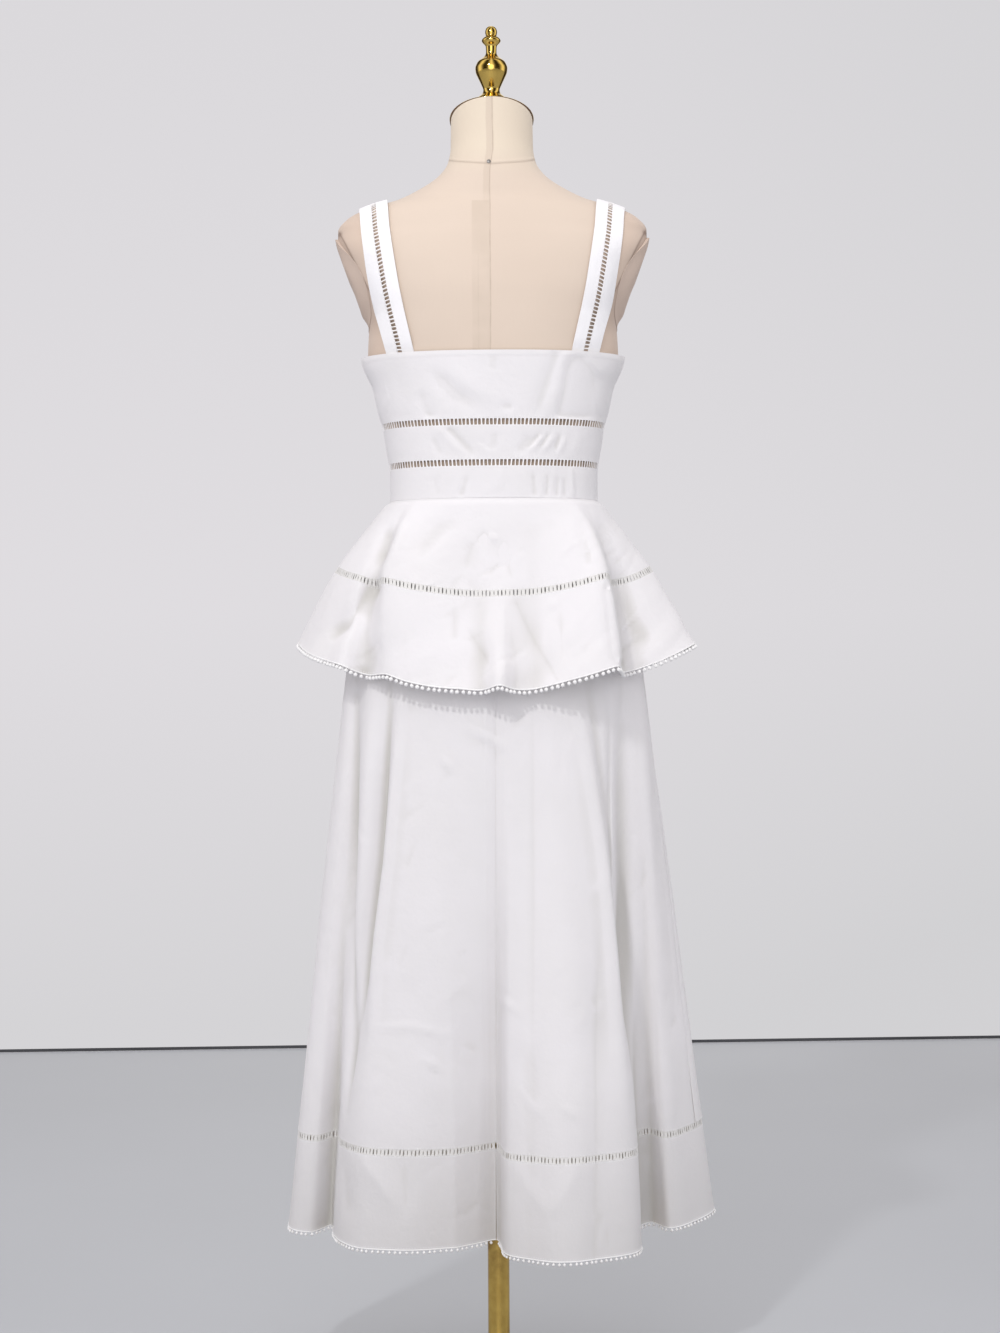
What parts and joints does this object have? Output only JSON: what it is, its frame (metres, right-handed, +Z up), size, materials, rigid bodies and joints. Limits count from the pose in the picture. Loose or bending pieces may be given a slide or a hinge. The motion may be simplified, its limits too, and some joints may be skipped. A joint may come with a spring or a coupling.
{
  "type": "button-down midi dress on a dress form",
  "caption": "White cotton midi dress with wide straps, ladder insertions, a two-tier peplum and a flared buttoned skirt, worn by a limbless dress form on a brass stand",
  "frame": {"origin": "centre of the round base's underside, on the floor under the pole", "axes": "+Z up along the pole, the dress's back faces -Y, its buttoned front +Y, and the wearer's right is +X"},
  "size_m": [0.5248, 0.341, 1.6285],
  "materials": {
    "cotton": "plain off-white cotton poplin, matt",
    "ladder_cotton": "openwork cotton insertion with fine rungs",
    "form_linen": "pale linen jersey cover",
    "armhole_tan": "tan jersey over the arm ends",
    "brass": "polished warm brass",
    "button_shell": "pale shell-like button"
  },
  "bodies": {
    "root": {"armhole_plate_left": "armhole_tan", "armhole_plate_right": "armhole_tan", "base": "brass", "bodice_back": "cotton", "bodice_front_left": "cotton", "bodice_front_right": "cotton", "bodice_ladder_lower": "ladder_cotton", "bodice_ladder_upper": "ladder_cotton", "bodice_placket": "cotton", "button_01": "button_shell", "button_02": "button_shell", "button_03": "button_shell", "button_04": "button_shell", "button_05": "button_shell", "button_06": "button_shell", "button_07": "button_shell", "button_08": "button_shell", "button_09": "button_shell", "button_10": "button_shell", "button_11": "button_shell", "button_12": "button_shell", "button_13": "button_shell", "finial": "brass", "foot_collar": "brass", "form_torso": "form_linen", "midriff_band": "cotton", "neck_cap": "brass", "peplum_ladder": "ladder_cotton", "peplum_lower": "cotton", "peplum_upper": "cotton", "pole": "brass", "skirt_back_left": "cotton", "skirt_back_right": "cotton", "skirt_front_left": "cotton", "skirt_front_right": "cotton", "skirt_hem_band_left": "cotton", "skirt_hem_band_right": "cotton", "skirt_ladder_left": "ladder_cotton", "skirt_ladder_right": "ladder_cotton", "skirt_placket": "cotton", "strap_left_inner": "cotton", "strap_left_ladder": "ladder_cotton", "strap_left_outer": "cotton", "strap_right_inner": "cotton", "strap_right_ladder": "ladder_cotton", "strap_right_outer": "cotton", "waist_band": "cotton"}
  },
  "joints": []
}
